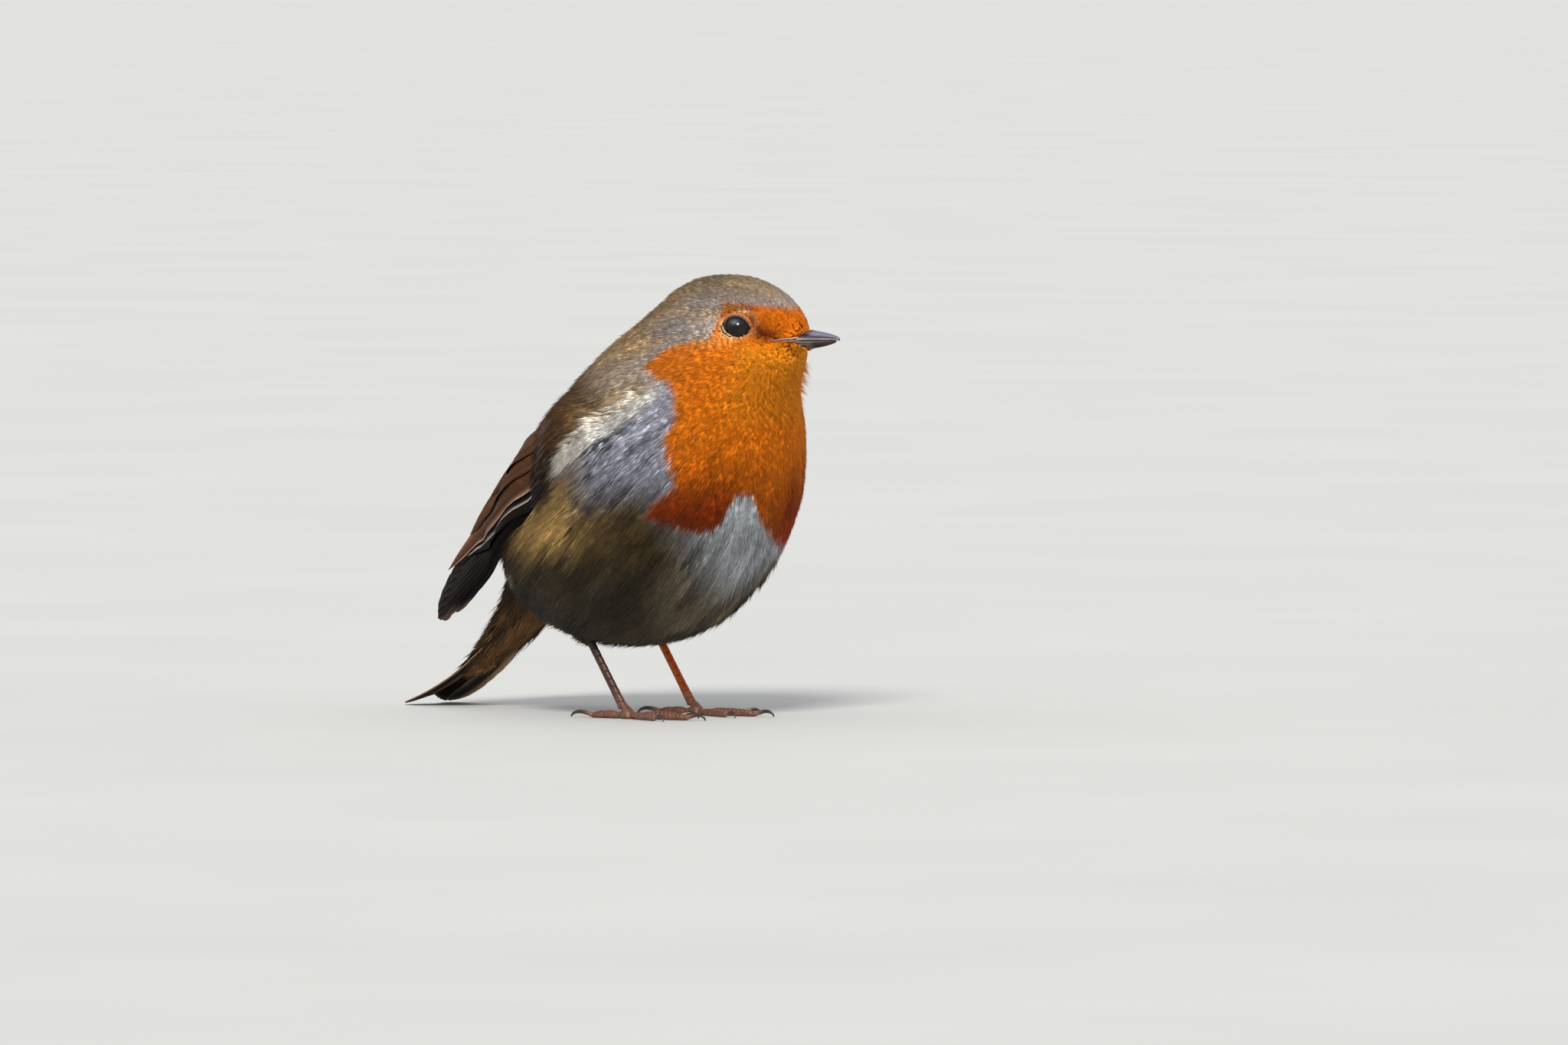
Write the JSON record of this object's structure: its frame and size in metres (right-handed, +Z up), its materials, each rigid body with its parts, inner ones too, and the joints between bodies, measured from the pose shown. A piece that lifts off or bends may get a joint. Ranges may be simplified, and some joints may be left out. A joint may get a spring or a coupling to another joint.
{
  "type": "european robin",
  "caption": "Still, life-size model of a European robin that stands on the floor, plump and upright, with its head turned a little and its tail tip resting.",
  "frame": {"origin": "on the floor, under the middle of the bird's box, between the belly and the tail", "axes": "+X the way the trunk faces, from tail to breast; +Y the bird's left; +Z up"},
  "size_m": [0.1206, 0.0578, 0.0921],
  "materials": {
    "orange_plumage": "soft matt plumage of face, throat and breast",
    "brown_plumage": "soft matt olive-brown plumage of back, rump and wing coverts",
    "belly_plumage": "soft matt grey-white and buff plumage of belly and flanks",
    "flight_feather": "dark brown vanes with a faint silky sheen and paler edges",
    "horn": "smooth dark horn, semi-gloss",
    "leg_scale": "scaly red-brown skin, semi-matt",
    "eye": "wet black gloss"
  },
  "bodies": {
    "root": {"bill_lower": "horn", "bill_upper": "horn", "claw_left_hallux": "horn", "claw_left_inner": "horn", "claw_left_middle": "horn", "claw_left_outer": "horn", "claw_right_hallux": "horn", "claw_right_inner": "horn", "claw_right_middle": "horn", "claw_right_outer": "horn", "eye_left": "eye", "eye_right": "eye", "head": "orange_plumage", "neck": "orange_plumage", "rump": "brown_plumage", "shank_left": "leg_scale", "shank_right": "leg_scale", "tail": "flight_feather", "thigh_left": "belly_plumage", "thigh_right": "belly_plumage", "toe_left_hallux": "leg_scale", "toe_left_inner": "leg_scale", "toe_left_middle": "leg_scale", "toe_left_outer": "leg_scale", "toe_right_hallux": "leg_scale", "toe_right_inner": "leg_scale", "toe_right_middle": "leg_scale", "toe_right_outer": "leg_scale", "trunk": "belly_plumage", "wing_left_coverts": "brown_plumage", "wing_left_primaries": "flight_feather", "wing_left_tertials": "flight_feather", "wing_right_coverts": "brown_plumage", "wing_right_primaries": "flight_feather", "wing_right_tertials": "flight_feather"}
  },
  "joints": []
}
